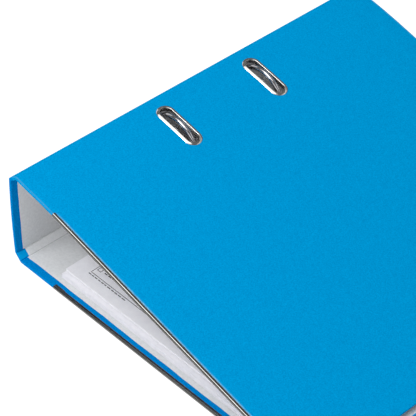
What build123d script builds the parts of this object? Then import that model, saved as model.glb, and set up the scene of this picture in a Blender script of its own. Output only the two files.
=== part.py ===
"""A4 lever arch file with an 80 mm spine, shut and lying on its back cover, with some filed paper.

The cover is greyboard in five panels (back, joint strip, spine, joint strip, front), covered in blue
paper outside and lined in grey paper inside, folding on four creases. A lever mechanism is riveted to
the back cover, and its two arches stand through metal-rimmed slots in the front cover.

Everything is drawn in millimetres with x from the outside of the spine to the fore edge, y from the
bottom edge to the top edge and z up from the table. write() then moves the origin to the middle of
the footprint.
"""

import math
import os

from build123d import *

# ---- Cover ----
WIDTH = 285.0                # outside of the spine to the fore edge of the back cover
HEIGHT = 318.0               # bottom edge to top edge
SPINE_FACE = 64.2            # flat of the spine between its two creases
SPINE_LEAN = 0.9             # outward lean of the shut spine, degrees
SPINE_BOW = 0.8              # how far the middle of the spine bellies outwards
LOWER_STRIP = 8.0            # joint strips between two creases
UPPER_STRIP = 8.8
UPPER_DIR = 35.5             # climb of the upper joint strip, degrees
NEAR_TILT = 10.8             # fall of the shut front cover beside the spine, degrees
FAR_TILT = 14.4              # fall of the rest of it
BEND_START = 20.0            # where along the front cover the fall changes
BEND_END = 46.0
PAPER = 0.2                  # covering paper
BOARD = 1.8                  # greyboard
LINING = 0.25                # lining paper, which laps over the covering paper's turn-in
MARGIN = 5.6                 # covering paper left showing round the lining
SKIN = PAPER + BOARD         # depth of the board's inner face
THICK = SKIN + LINING

# ---- Creases ----
FOLD_R = 0.5                 # folded paper that the panels turn on
FOLD_CLEAR = 0.25
PANEL_GAP = 0.3

# ---- Bottom edge rails ----
RAIL_METAL = 0.3
RAIL_LIP = 1.8               # how far the rail reaches over each face
BACK_RAIL_START = 34.4       # along the cover from its crease
FRONT_RAIL_START = 38.0
RAIL_STOP = 4.0              # short of the fore edge

# ---- Rings ----
RING_SPACING = 80.0          # ISO 838 hole spacing
POST_X = 50.6
AXLE_X = 7.8
AXLE_Z = 6.3
ARCH_Z = 51.4                # height at which the arches turn over
POST_TOP = 51.0
WIRE_R = 1.7
POST_R = 2.0
POST_FOOT_R = 1.6            # riveted into the base plate
COLLAR_R = 2.4
COLLAR_HEIGHT = 1.2
CUP_DEPTH = 0.7              # hollow in a post's top that takes the arch's tip
WIRE_BEND_R = 2.4
CRANK_HALF = 6.5             # half the crank's straight
CRANK_SHOULDER = 11.5        # where the wire leaves the axle for the crank
RING_Y = (HEIGHT / 2 - RING_SPACING / 2, HEIGHT / 2 + RING_SPACING / 2)

# ---- Slots in the front cover ----
SLOT_AT = 27.3               # centre, along the front cover from its crease
SLOT_LENGTH = 40.0           # rim, end to end
SLOT_WIDTH = 13.4
SLOT_RIM = 2.2               # width of the rim
SLOT_WALL = 0.5
RIM_PROUD = 0.5
CURL_WIDTH = 1.2             # of the curl that holds the rim from inside
CURL_THICK = 0.4
NUB_AT = 1.3                 # middle of the nub, down the cover from the slot's middle
NUB_LENGTH = 4.6
NUB_REACH = 1.4

# ---- Finger hole in the spine ----
FINGER_Y = 76.0
FINGER_R = 11.5
FINGER_WALL = 0.7
FINGER_RIM = 3.8
FINGER_PROUD = 0.8
FINGER_CURL = 1.6            # width of the ring's inner curl
FINGER_CURL_THICK = 0.5

# ---- Spine label ----
LABEL_WIDTH = 55.0
LABEL_Y = (108.0, 298.0)
LABEL_THICK = 0.12

# ---- Base plate ----
PLATE_Z = 2.4
PLATE_THICK = 1.0
PLATE_TOP = PLATE_Z + PLATE_THICK
PLATE_X = (7.3, 62.0)
PLATE_Y = (79.0, 239.0)
PLATE_CORNER = 4.0
RIB_FROM_EDGE = (6.0, 8.5)   # pressed ribs beside the plate's inner long edge
RIB_FROM_END = 18.0
RIB_FROM_MIDDLE = 45.0
RIB_PROUD = 0.1
EAR_INNER = 12.0             # half the space between the lever's two ears
EAR_THICK = 1.2
EAR_TOP_R = 4.0
EAR_FOOT = (-6.0, 5.2)       # middle of the ear's two rounded feet, from the pivot
EAR_FOOT_R = 0.8
LUG_LENGTH = 7.0
LUG_FROM_RING = 9.0
LUG_OUTER_R = 2.7
RIVET_X = (17.0, 55.5)
RIVET_Y = (87.0, 231.0)
RIVET_SHANK_R = 1.9
RIVET_HEAD_R = 3.8
RIVET_HEAD = 0.9
RIVET_DOME = 0.6
DIMPLE_R = 1.1
DIMPLE_DEPTH = 0.6

# ---- Lever ----
PIVOT_X = 31.0
PIVOT_Z = 13.0
PIVOT_R = 2.0
ROLLER_X = 21.4
ROLLER_Z = 11.3
ROLLER_R = 3.0
ROLLER_PIN_R = 1.4
CRANK_X = 21.2               # where the arch wire's crank lies under the roller
RUNNING = 0.05               # radial clearance of every turning fit
CHEEK_OUTER = 11.6
CHEEK_THICK = 1.4
CHEEK_PIVOT_R = 4.4
CHEEK_ROLLER_R = 3.2
ROLLER_PLAY = 0.4            # at each end, between the cheeks
PIN_HEAD = 0.9               # height and overhang of the pivot pin's heads
LEVER_WIDTH = 15.0
LEVER_THICK = 1.4
SHOULDER = (26.0, 17.6)      # where the lever's strip leaves its cheeks
SHOULDER_LENGTH = 8.0
KNEE = (9.4, 23.5)
KNEE_R = 9.0
LEVER_END = (12.4, 49.2)
GRIP_R = 9.5
GRIP_HOLE_R = 5.5
GRIP_REACH = 5.0

# ---- Opening spring ----
SPRING_COIL_R = 2.45
SPRING_WIRE_R = 0.45
SPRING_TURNS = 7
SPRING_PITCH = 1.0
SPRING_LEG = 9.0

# ---- Filed paper ----
SHEET_WIDTH = 210.0
SHEET_HEIGHT = 297.0
PUNCH_R = 3.0
LOWER_CORNER = (37.3, 9.3)   # spine-side bottom corner of each bundle
UPPER_CORNER = (38.0, 12.8)
STACK_Z = 4.1
LOWER_STACK = 3.8
UPPER_STACK = 2.7
TOP_SHEET = 0.15
SHEET_GAP = 0.02

# ---- Compressor bar ----
BAR_X = (42.5, 60.5)
BAR_Y = (99.0, 219.0)
BAR_THICK = 1.0
BAR_FLANGE = 2.4
BAR_WALL = 1.0
BAR_CORNER = 5.0
BAR_HOLE_PLAY = 0.5
TAB_SIZE = (20.0, 10.0)      # finger tab on the bar's inner edge
TAB_OUT = 4.0
CLIP_SIZE = (13.0, 15.0)
CLIP_THICK = 0.6
CLIP_ARM = (2.4, 12.0)
CLIP_ARM_AT = 4.6
CLIP_ARM_HEIGHT = 1.8
CLIP_PLAY = 0.1

MIDDLE_Y = HEIGHT / 2
STACK_TOP = STACK_Z + LOWER_STACK + UPPER_STACK + TOP_SHEET + 2 * SHEET_GAP
BAR_Z = STACK_TOP + 0.1
ALONG_Y = (0, 1, 0)


def polar(degrees, length=1.0):
    """A vector in the x-z plane."""
    angle = math.radians(degrees)
    return Vector(length * math.cos(angle), 0, length * math.sin(angle))


def mitre(first, second):
    """Where a crease lies for each millimetre of depth, between panels that run in two directions."""
    inward = polar((first + second) / 2 - 90)
    return inward / math.cos(math.radians((first - second) / 2))


# ---- Cross-section of the outer surface: directions in degrees, then crease points ----
BACK_DIR, LOWER_DIR, SPINE_DIR = 180.0, 135.0, 90.0 + SPINE_LEAN
CREASE_2 = Vector(0, 0, LOWER_STRIP * math.sin(math.radians(LOWER_DIR)))
CREASE_1 = CREASE_2 - polar(LOWER_DIR, LOWER_STRIP)
CREASE_3 = CREASE_2 + polar(SPINE_DIR, SPINE_FACE)
CREASE_4 = CREASE_3 + polar(UPPER_DIR, UPPER_STRIP)
CREASES = (
    (CREASE_1, mitre(BACK_DIR, LOWER_DIR)),
    (CREASE_2, mitre(LOWER_DIR, SPINE_DIR)),
    (CREASE_3, mitre(SPINE_DIR, UPPER_DIR)),
    (CREASE_4, mitre(UPPER_DIR, -NEAR_TILT)),
)
FRONT_LENGTH = WIDTH - CREASE_1.X
SPINE_INWARD = polar(SPINE_DIR - 90)
SPINE_MIDDLE = (CREASE_2 + CREASE_3) / 2 - SPINE_INWARD * SPINE_BOW
CENTRE_X = (WIDTH + SPINE_MIDDLE.X - FINGER_PROUD) / 2


def back_path(inset=0.0):
    """Each path is its stations in order, as a point and the way into the file, and its curved spans."""
    crease, inward = CREASES[0]
    return [(Vector(WIDTH - inset, 0, 0), Vector(0, 0, 1)), (crease, inward)], ()


def strip_path(first):
    return [CREASES[first], CREASES[first + 1]], ()


def spine_path():
    return [CREASES[1], (SPINE_MIDDLE, SPINE_INWARD), CREASES[2]], (0,)


def front_path(inset=0.0):
    near, far = polar(-NEAR_TILT), polar(-FAR_TILT)
    start = CREASE_4 + near * BEND_START
    middle_tilt = (NEAR_TILT + FAR_TILT) / 2
    bend_r = (BEND_END - BEND_START) / math.radians(FAR_TILT - NEAR_TILT)
    centre = start + polar(-NEAR_TILT - 90, bend_r)
    middle = centre + polar(90 - middle_tilt, bend_r)
    end = centre + polar(90 - FAR_TILT, bend_r)
    fore_edge = end + far * (FRONT_LENGTH - BEND_END - inset)
    near_in, far_in = polar(-NEAR_TILT - 90), polar(-FAR_TILT - 90)
    stations = [
        CREASES[3],
        (start, near_in),
        (middle, polar(-middle_tilt - 90)),
        (end, far_in),
        (fore_edge, far_in),
    ]
    return stations, (1,)


def edges_at(path, depth):
    """The path's edges at one depth below the outer surface."""
    stations, curved = path
    points = [point + inward * depth for point, inward in stations]
    edges, i = [], 0
    while i < len(points) - 1:
        if i in curved:
            edges.append(Edge.make_three_point_arc(*points[i : i + 3]))
            i += 2
        else:
            edges.append(Edge.make_line(points[i], points[i + 1]))
            i += 1
    return points[0], points[-1], edges


def layer(path, outer, inner, low=0.0, high=HEIGHT):
    """The solid between two depths of a panel and two heights up the file."""
    start_a, end_a, edges_a = edges_at(path, outer)
    start_b, end_b, edges_b = edges_at(path, inner)
    ends = [Edge.make_line(start_a, start_b), Edge.make_line(end_a, end_b)]
    outline = Face(Wire(edges_a + edges_b + ends))
    return extrude(Pos(0, low, 0) * outline, amount=high - low, dir=ALONG_Y)


def span(x, y, z):
    """A box between two values on each axis."""
    size = (x[1] - x[0], y[1] - y[0], z[1] - z[0])
    middle = ((x[0] + x[1]) / 2, (y[0] + y[1]) / 2, (z[0] + z[1]) / 2)
    return Pos(*middle) * Box(*size)


def rod(x, z, radius, low, high):
    """A cylinder along y."""
    cylinder = Cylinder(radius, high - low)
    return Pos(x, (low + high) / 2, z) * Rot(90, 0, 0) * cylinder


def both_sides(near, far):
    """The two ranges of y that lie between two distances from mid-height."""
    return (MIDDLE_Y - far, MIDDLE_Y - near), (MIDDLE_Y + near, MIDDLE_Y + far)


def wrapped_plate(circles, low, high):
    """A flat plate between two values of y, with its outline wrapped round circles (x, z, radius)."""
    edges = [edge for x, z, radius in circles for edge in (Pos(x, z) * Circle(radius)).edges()]
    outline = Plane.XZ * make_hull(edges)
    return extrude(Pos(0, low, 0) * outline, amount=high - low, dir=ALONG_Y)


def fold_axis(number):
    crease, inward = CREASES[number]
    return crease + inward.normalized() * FOLD_R


def crease_cutter(number):
    """The room round a fold, and the gap between the two panels' mitred ends."""
    crease, inward = CREASES[number]
    axis = fold_axis(number)
    room = rod(axis.X, axis.Z, FOLD_R + FOLD_CLEAR, -1, HEIGHT + 1)
    lean = math.degrees(math.atan2(inward.X, inward.Z))
    gap = Box(PANEL_GAP, HEIGHT + 2, 2 * THICK, align=(Align.CENTER, Align.CENTER, Align.MIN))
    return room + Pos(crease.X, MIDDLE_Y, crease.Z) * Rot(0, lean, 0) * gap


def panel(path, inset_path, creases, cutouts=(), fore_margin=False):
    """One panel as its covering paper, its board and its lining."""
    paper_low = RAIL_METAL if fore_margin else 0.0
    body = layer(path, 0, SKIN + PAPER, paper_low)
    board = layer(inset_path(PAPER), PAPER, SKIN, paper_low + PAPER, HEIGHT - PAPER)
    lined = inset_path(MARGIN)
    lining = layer(lined, SKIN, THICK, MARGIN, HEIGHT - MARGIN)
    window = layer(lined, SKIN, THICK + 1, MARGIN, HEIGHT - MARGIN)
    cutters = [crease_cutter(n) for n in creases] + list(cutouts)
    parts = [body - board - window, board, lining]
    for cutter in cutters:
        parts = [part - cutter for part in parts]
    return parts


# ---- Rails ----
def rail(path_maker, reach_x):
    """A thin channel pressed over a cover's bottom edge, sunk flush with both faces."""
    path = path_maker(0.0)
    inner_face = SKIN + PAPER
    outer_lip = layer(path, 0, RAIL_METAL, 0, RAIL_LIP)
    inner_lip = layer(path, inner_face - RAIL_METAL, inner_face, 0, RAIL_LIP)
    back = layer(path, 0, inner_face, 0, RAIL_METAL)
    whole = outer_lip + inner_lip + back
    return whole & span(reach_x, (-1, RAIL_LIP + 1), (-5, 100))


# ---- Slots ----
def slot_frame(ring_y):
    """The plane of a slot, with x down the cover and z out of it."""
    slope = math.radians(NEAR_TILT)
    origin = CREASE_4 + Vector(math.cos(slope), 0, -math.sin(slope)) * SLOT_AT
    return Plane(
        origin=(origin.X, ring_y, origin.Z),
        x_dir=(math.cos(slope), 0, -math.sin(slope)),
        z_dir=(math.sin(slope), 0, math.cos(slope)),
    )


def slot_prism(ring_y, length, width):
    outline = SlotOverall(length, width)
    return slot_frame(ring_y) * extrude(Pos(0, 0, -8) * outline, amount=16)


def slot_sizes():
    """Length and width of the hole in the cover, of the opening and of the inner curl."""
    opening = (SLOT_LENGTH - 2 * SLOT_RIM, SLOT_WIDTH - 2 * SLOT_RIM)
    hole = (opening[0] + 2 * SLOT_WALL, opening[1] + 2 * SLOT_WALL)
    curl = (hole[0] + 2 * CURL_WIDTH, hole[1] + 2 * CURL_WIDTH)
    return hole, opening, curl


def slot_eyelet(ring_y):
    """Rim outside, wall through the cover, curl inside, and the nub that grips the arch."""
    hole, opening, curl = slot_sizes()
    path = front_path()
    low, high = ring_y - SLOT_WIDTH, ring_y + SLOT_WIDTH
    rim = layer(path, -RIM_PROUD, 0, low, high) & slot_prism(ring_y, SLOT_LENGTH, SLOT_WIDTH)
    wall = layer(path, 0, THICK, low, high) & slot_prism(ring_y, *hole)
    inner = layer(path, THICK, THICK + CURL_THICK, low, high) & slot_prism(ring_y, *curl)
    solid = (rim + wall + inner) - slot_prism(ring_y, *opening)
    nub = Box(NUB_LENGTH, NUB_REACH, THICK, align=(Align.CENTER, Align.MIN, Align.MAX))
    nub = fillet(nub.edges().filter_by(Axis.Z).group_by(Axis.Y)[-1], NUB_REACH - 0.2)
    in_the_wall = -opening[1] / 2 - SLOT_WALL / 2
    return solid + slot_frame(ring_y) * Pos(NUB_AT, in_the_wall, 0) * nub


# ---- Finger hole ----
def finger_drum(radius, low_x, high_x):
    z = SPINE_MIDDLE.Z
    drum = Cylinder(radius, high_x - low_x)
    return Pos((low_x + high_x) / 2, FINGER_Y, z) * Rot(0, 90, 0) * drum


def finger_ring(spine_solid):
    """Metal ring round the finger hole, flanged outside and curled inside."""
    outer_x = SPINE_MIDDLE.X
    rim_r = FINGER_R + FINGER_RIM
    inner_x = outer_x + THICK + FINGER_CURL_THICK
    flange = finger_drum(rim_r, outer_x - FINGER_PROUD, outer_x + FINGER_PROUD) - spine_solid
    tube = finger_drum(FINGER_R + FINGER_WALL, outer_x - FINGER_PROUD, inner_x)
    curl_r = FINGER_R + FINGER_WALL + FINGER_CURL
    curl = finger_drum(curl_r, inner_x - 2 * FINGER_CURL_THICK, inner_x) - spine_solid
    return flange + tube + curl - finger_drum(FINGER_R, -5, 8)


# ---- Mechanism ----
def base_plate():
    """Stamped plate with turned-down long edges, two lugs for the axle and two ears for the lever."""
    middle_x = (PLATE_X[0] + PLATE_X[1]) / 2
    size = (PLATE_X[1] - PLATE_X[0], PLATE_Y[1] - PLATE_Y[0])
    sheet = extrude(RectangleRounded(*size, PLATE_CORNER), amount=PLATE_THICK)
    plate = Pos(middle_x, MIDDLE_Y, PLATE_Z) * sheet
    rib_x = (PLATE_X[1] - RIB_FROM_EDGE[1], PLATE_X[1] - RIB_FROM_EDGE[0])
    for rib_y in both_sides(RIB_FROM_MIDDLE, size[1] / 2 - RIB_FROM_END):
        rib = span(rib_x, rib_y, (PLATE_Z, PLATE_TOP + RIB_PROUD))
        plate += fillet(rib.edges().filter_by(Axis.Z), 1.0)
    for y in (RING_Y[0] + LUG_FROM_RING, RING_Y[1] - LUG_FROM_RING):
        low, high = y - LUG_LENGTH / 2, y + LUG_LENGTH / 2
        lug = rod(AXLE_X, AXLE_Z, LUG_OUTER_R, low, high)
        foot = span((PLATE_X[0] + 0.2, AXLE_X + LUG_OUTER_R), (low, high), (PLATE_TOP - 0.2, AXLE_Z))
        plate += lug + foot
        plate -= rod(AXLE_X, AXLE_Z, WIRE_R + RUNNING, low - 1, high + 1)
    ear_outline = [(PIVOT_X, PIVOT_Z, EAR_TOP_R)]
    ear_outline += [(PIVOT_X + foot, PLATE_TOP, EAR_FOOT_R) for foot in EAR_FOOT]
    for low, high in both_sides(EAR_INNER, EAR_INNER + EAR_THICK):
        plate += wrapped_plate(ear_outline, low, high)
        plate -= rod(PIVOT_X, PIVOT_Z, PIVOT_R, low - 1, high + 1)
    for y in RING_Y:
        plate -= Pos(POST_X, y, PLATE_Z) * Cylinder(POST_FOOT_R, 4 * PLATE_THICK)
    for x in RIVET_X:
        for y in RIVET_Y:
            plate -= Pos(x, y, PLATE_Z) * Cylinder(RIVET_SHANK_R, 4 * PLATE_THICK)
    return plate


def rivet(x, y):
    """Hollow rivet: a low dome on the plate and a pressed head sunk flush in the back cover."""
    shank = Cylinder(RIVET_SHANK_R, PLATE_TOP, align=(Align.CENTER, Align.CENTER, Align.MIN))
    sunk = Cylinder(RIVET_HEAD_R, RIVET_HEAD, align=(Align.CENTER, Align.CENTER, Align.MIN))
    dome = Cylinder(RIVET_HEAD_R - 0.4, RIVET_DOME, align=(Align.CENTER, Align.CENTER, Align.MIN))
    dome = fillet(dome.edges().group_by(Axis.Z)[-1], RIVET_DOME * 0.7)
    dimple = Pos(0, 0, PLATE_TOP + RIVET_DOME) * Cylinder(DIMPLE_R, 2 * DIMPLE_DEPTH)
    return Pos(x, y, 0) * (shank + sunk + Pos(0, 0, PLATE_TOP) * dome - dimple)


def rivets():
    return [rivet(x, y) for x in RIVET_X for y in RIVET_Y]


def rivet_room():
    """What the rivets take out of the back cover."""
    solids = []
    for x in RIVET_X:
        for y in RIVET_Y:
            solids.append(Pos(x, y, 0) * Cylinder(RIVET_SHANK_R, 12))
            solids.append(Pos(x, y, 0) * Cylinder(RIVET_HEAD_R, 2 * RIVET_HEAD))
    return solids


def post(y):
    """Fixed prong: shouldered foot through the plate and a shallow cup for the arch's tip."""
    body = Cylinder(POST_R, POST_TOP - PLATE_TOP, align=(Align.CENTER, Align.CENTER, Align.MIN))
    collar = Cylinder(COLLAR_R, COLLAR_HEIGHT, align=(Align.CENTER, Align.CENTER, Align.MIN))
    collar = fillet(collar.edges().group_by(Axis.Z)[-1], 0.3)
    spigot = Cylinder(POST_FOOT_R, PLATE_THICK, align=(Align.CENTER, Align.CENTER, Align.MAX))
    cup = Cone(0.2, POST_R - 0.6, CUP_DEPTH, align=(Align.CENTER, Align.CENTER, Align.MAX))
    shape = body + collar + spigot - Pos(0, 0, POST_TOP - PLATE_TOP) * cup
    return Pos(POST_X, y, PLATE_TOP) * shape


def arch_wire():
    """Both arches, their legs, the axle between them and the crank under the lever, in one bent wire."""
    low, high = RING_Y
    radius = (POST_X - AXLE_X) / 2
    centre_x = (POST_X + AXLE_X) / 2
    first = Edge.make_three_point_arc(
        (POST_X, low, ARCH_Z), (centre_x, low, ARCH_Z + radius), (AXLE_X, low, ARCH_Z)
    )
    last = Edge.make_three_point_arc(
        (AXLE_X, high, ARCH_Z), (centre_x, high, ARCH_Z + radius), (POST_X, high, ARCH_Z)
    )
    corners = [
        (AXLE_X, low, ARCH_Z),
        (AXLE_X, low, AXLE_Z),
        (AXLE_X, MIDDLE_Y - CRANK_SHOULDER, AXLE_Z),
        (CRANK_X, MIDDLE_Y - CRANK_HALF, AXLE_Z),
        (CRANK_X, MIDDLE_Y + CRANK_HALF, AXLE_Z),
        (AXLE_X, MIDDLE_Y + CRANK_SHOULDER, AXLE_Z),
        (AXLE_X, high, AXLE_Z),
        (AXLE_X, high, ARCH_Z),
    ]
    middle = FilletPolyline(*corners, radius=WIRE_BEND_R)
    path = Wire([first] + list(middle.edges()) + [last])
    section = Plane(origin=(POST_X, low, ARCH_Z), z_dir=(0, 0, 1)) * Circle(WIRE_R)
    wire = sweep(section, path=path)
    nose = Cone(0.5, WIRE_R, 0.5, align=(Align.CENTER, Align.CENTER, Align.MAX))
    for y in RING_Y:
        wire += Pos(POST_X, y, ARCH_Z) * nose
    return wire


def lever():
    """Two cheeks on the pivot, a strip that turns up at the spine, and a ring at its end for a finger."""
    corners = [(x, 0, z) for x, z in (SHOULDER, KNEE, LEVER_END)]
    line = FilletPolyline(*corners, radius=KNEE_R)
    start, lead, end, tail = line @ 0, line % 0, line @ 1, line % 1
    across = Plane(origin=start, x_dir=ALONG_Y, z_dir=lead)
    strip = sweep(across * Rectangle(LEVER_WIDTH, LEVER_THICK), path=line)
    shoulder = extrude(across * Rectangle(2 * CHEEK_OUTER, LEVER_THICK), amount=SHOULDER_LENGTH, dir=lead)
    grip_plane = Plane(origin=end + tail * GRIP_REACH, x_dir=ALONG_Y, z_dir=tail.cross(Vector(*ALONG_Y)))
    grip = grip_plane * extrude(Circle(GRIP_R), amount=LEVER_THICK / 2, both=True)
    hole = grip_plane * Cylinder(GRIP_HOLE_R, 4 * LEVER_THICK)
    body = Pos(0, MIDDLE_Y, 0) * (strip + shoulder + grip - hole)
    far = start + lead * (SHOULDER_LENGTH - LEVER_THICK / 2)
    half = LEVER_THICK / 2
    cheek_outline = [
        (PIVOT_X, PIVOT_Z, CHEEK_PIVOT_R),
        (ROLLER_X, ROLLER_Z, CHEEK_ROLLER_R),
        (start.X, start.Z, half),
        (far.X, far.Z, half),
    ]
    for low, high in both_sides(CHEEK_OUTER - CHEEK_THICK, CHEEK_OUTER):
        cheek = wrapped_plate(cheek_outline, low, high)
        cheek -= rod(PIVOT_X, PIVOT_Z, PIVOT_R + RUNNING, low - 1, high + 1)
        body += cheek - rod(ROLLER_X, ROLLER_Z, ROLLER_PIN_R, low - 1, high + 1)
    return body


def lever_pin():
    reach = EAR_INNER + EAR_THICK
    shaft = rod(PIVOT_X, PIVOT_Z, PIVOT_R, MIDDLE_Y - reach, MIDDLE_Y + reach)
    for side in (-1, 1):
        ends = sorted((MIDDLE_Y + side * reach, MIDDLE_Y + side * (reach + PIN_HEAD)))
        shaft += rod(PIVOT_X, PIVOT_Z, PIVOT_R + PIN_HEAD, *ends)
    return shaft


def roller_pin():
    return rod(ROLLER_X, ROLLER_Z, ROLLER_PIN_R, MIDDLE_Y - CHEEK_OUTER, MIDDLE_Y + CHEEK_OUTER)


def roller():
    half = CHEEK_OUTER - CHEEK_THICK - ROLLER_PLAY
    drum = rod(ROLLER_X, ROLLER_Z, ROLLER_R, MIDDLE_Y - half, MIDDLE_Y + half)
    return drum - rod(ROLLER_X, ROLLER_Z, ROLLER_PIN_R + RUNNING, 0, HEIGHT)


def opening_spring():
    """Torsion spring round the axle beside the lower lug, with one leg along the base plate."""
    start_y = RING_Y[0] + LUG_FROM_RING + LUG_LENGTH / 2 + SPRING_PITCH
    helix = Helix(pitch=SPRING_PITCH, height=SPRING_PITCH * SPRING_TURNS, radius=SPRING_COIL_R)
    start, tangent = helix @ 0, helix % 0
    coil = sweep(Plane(origin=start, z_dir=tangent) * Circle(SPRING_WIRE_R), path=helix)
    coil = Pos(AXLE_X, start_y, AXLE_Z) * Rot(-90, 0, 0) * Rot(0, 0, 90) * coil
    leg = Cylinder(SPRING_WIRE_R, SPRING_LEG, align=(Align.CENTER, Align.CENTER, Align.MIN))
    foot = Pos(AXLE_X - SPRING_WIRE_R, start_y, AXLE_Z - SPRING_COIL_R)
    return coil + foot * Rot(0, 90, 0) * leg


# ---- Compressor ----
def compressor_bar():
    """Pressed bar that slides on both posts and holds the paper down, with turned-up long edges."""
    middle_x = (BAR_X[0] + BAR_X[1]) / 2
    width, length = BAR_X[1] - BAR_X[0], BAR_Y[1] - BAR_Y[0]
    bar = extrude(RectangleRounded(width, length, BAR_CORNER), amount=BAR_FLANGE)
    inner_size = (width - 2 * BAR_WALL, length - 2 * BAR_WALL)
    inside = extrude(RectangleRounded(*inner_size, BAR_CORNER - BAR_WALL), amount=BAR_FLANGE)
    tray = Pos(middle_x, MIDDLE_Y, BAR_Z) * (bar - Pos(0, 0, BAR_THICK) * inside)
    for y in RING_Y:
        tray -= Pos(POST_X, y, BAR_Z) * Cylinder(POST_R + BAR_HOLE_PLAY, 3 * BAR_FLANGE)
    tab = extrude(SlotOverall(*TAB_SIZE), amount=BAR_THICK)
    tray += Pos(BAR_X[1] + TAB_OUT, MIDDLE_Y, BAR_Z) * tab
    return tray


def compressor_clips():
    """Two spring-steel grips in the bar, one round each post."""
    clips = []
    for y in RING_Y:
        clip = extrude(RectangleRounded(*CLIP_SIZE, 2.0), amount=CLIP_THICK)
        arm = extrude(RectangleRounded(*CLIP_ARM, 0.8), amount=CLIP_ARM_HEIGHT)
        clip = clip + Pos(CLIP_ARM_AT, 0, CLIP_THICK) * arm
        clip -= Cylinder(POST_R + CLIP_PLAY, 6 * CLIP_ARM_HEIGHT)
        clips.append(Pos(POST_X, y, BAR_Z + BAR_THICK) * clip)
    return clips


# ---- Filed paper ----
def bundle(corner, z, thick):
    """Some sheets as one block, punched where the posts stand."""
    x, y = corner
    sheets = span((x, x + SHEET_WIDTH), (y, y + SHEET_HEIGHT), (z, z + thick))
    for ring_y in RING_Y:
        sheets -= Pos(POST_X, ring_y, z) * Cylinder(PUNCH_R, 4 * thick + 2)
    return sheets


def write(name, solids):
    """Moves a node to the middle of the footprint and writes it."""
    solids = solids if isinstance(solids, list) else [solids]
    moved = []
    for solid in solids:
        moved.extend((Pos(-CENTRE_X, -MIDDLE_Y, 0) * solid).solids())
    shape = moved[0] if len(moved) == 1 else Compound(moved)
    export_step(shape, f"parts/{name}.step")


def write_panel(name, parts):
    for suffix, solid in zip(("covering", "board", "lining"), parts):
        write(f"{name}_{suffix}", solid)


def main():
    os.makedirs("parts", exist_ok=True)

    back_rail = rail(back_path, (CREASE_1.X + BACK_RAIL_START, WIDTH - RAIL_STOP))
    far_x = front_path(RAIL_STOP)[0][-1][0].X
    start_x = CREASE_4.X + FRONT_RAIL_START * math.cos(math.radians(NEAR_TILT))
    front_rail = rail(front_path, (start_x, far_x))
    write("back_edge_rail", back_rail)
    write("front_edge_rail", front_rail)

    slots = [slot_prism(y, *slot_sizes()[0]) for y in RING_Y]
    spine_hole = finger_drum(FINGER_R + FINGER_WALL, -5, 8)
    write_panel("back_cover", panel(back_path(), back_path, (0,), [back_rail] + rivet_room(), True))
    write_panel("back_joint", panel(strip_path(0), lambda inset: strip_path(0), (0, 1)))
    write_panel("spine", panel(spine_path(), lambda inset: spine_path(), (1, 2), [spine_hole]))
    write_panel("front_joint", panel(strip_path(2), lambda inset: strip_path(2), (2, 3)))
    write_panel("front_cover", panel(front_path(), front_path, (3,), [front_rail] + slots, True))

    for number, name in enumerate(("back", "spine_lower", "spine_upper", "front")):
        axis = fold_axis(number)
        write(f"{name}_fold", rod(axis.X, axis.Z, FOLD_R, 0.4, HEIGHT))

    label = layer(spine_path(), -LABEL_THICK, 0, *LABEL_Y)
    label_z = (SPINE_MIDDLE.Z - LABEL_WIDTH / 2, SPINE_MIDDLE.Z + LABEL_WIDTH / 2)
    write("spine_label", label & span((-5, 5), LABEL_Y, label_z))
    write("finger_ring", finger_ring(layer(spine_path(), 0, THICK)))
    for y, name in zip(RING_Y, ("lower", "upper")):
        write(f"{name}_slot_eyelet", slot_eyelet(y))
        write(f"{name}_post", post(y))

    write("base_plate", base_plate())
    write("base_rivets", rivets())
    write("arch_wire", arch_wire())
    write("lever", lever())
    write("lever_pin", lever_pin())
    write("roller", roller())
    write("roller_pin", roller_pin())
    write("opening_spring", opening_spring())
    write("compressor_bar", compressor_bar())
    write("compressor_clips", compressor_clips())

    upper_z = STACK_Z + LOWER_STACK + SHEET_GAP
    write("paper_lower_bundle", bundle(LOWER_CORNER, STACK_Z, LOWER_STACK))
    write("paper_upper_bundle", bundle(UPPER_CORNER, upper_z, UPPER_STACK))
    write("paper_top_sheet", bundle(UPPER_CORNER, upper_z + UPPER_STACK + SHEET_GAP, TOP_SHEET))


main()
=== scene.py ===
"""Looks of the A4 lever arch file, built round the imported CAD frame.

The cover is one wrapped board that folds on four creases. It is drawn as main panels that ride on
their bodies and crease pieces that blend across one joint each. The rails, slot rims, finger ring,
label, filed sheets and arch wire are drawn here too. The rest of the mechanism keeps the CAD's own
shapes, with finer materials.

Lengths are in millimetres in the part's own frame (x from the outside of the spine, y from the
bottom edge, z up from the table). place() and row() turn them into metres in the row frame.
"""

import math
import random
from functools import lru_cache

import bmesh
import bpy
from mathutils import Matrix, Vector


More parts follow.
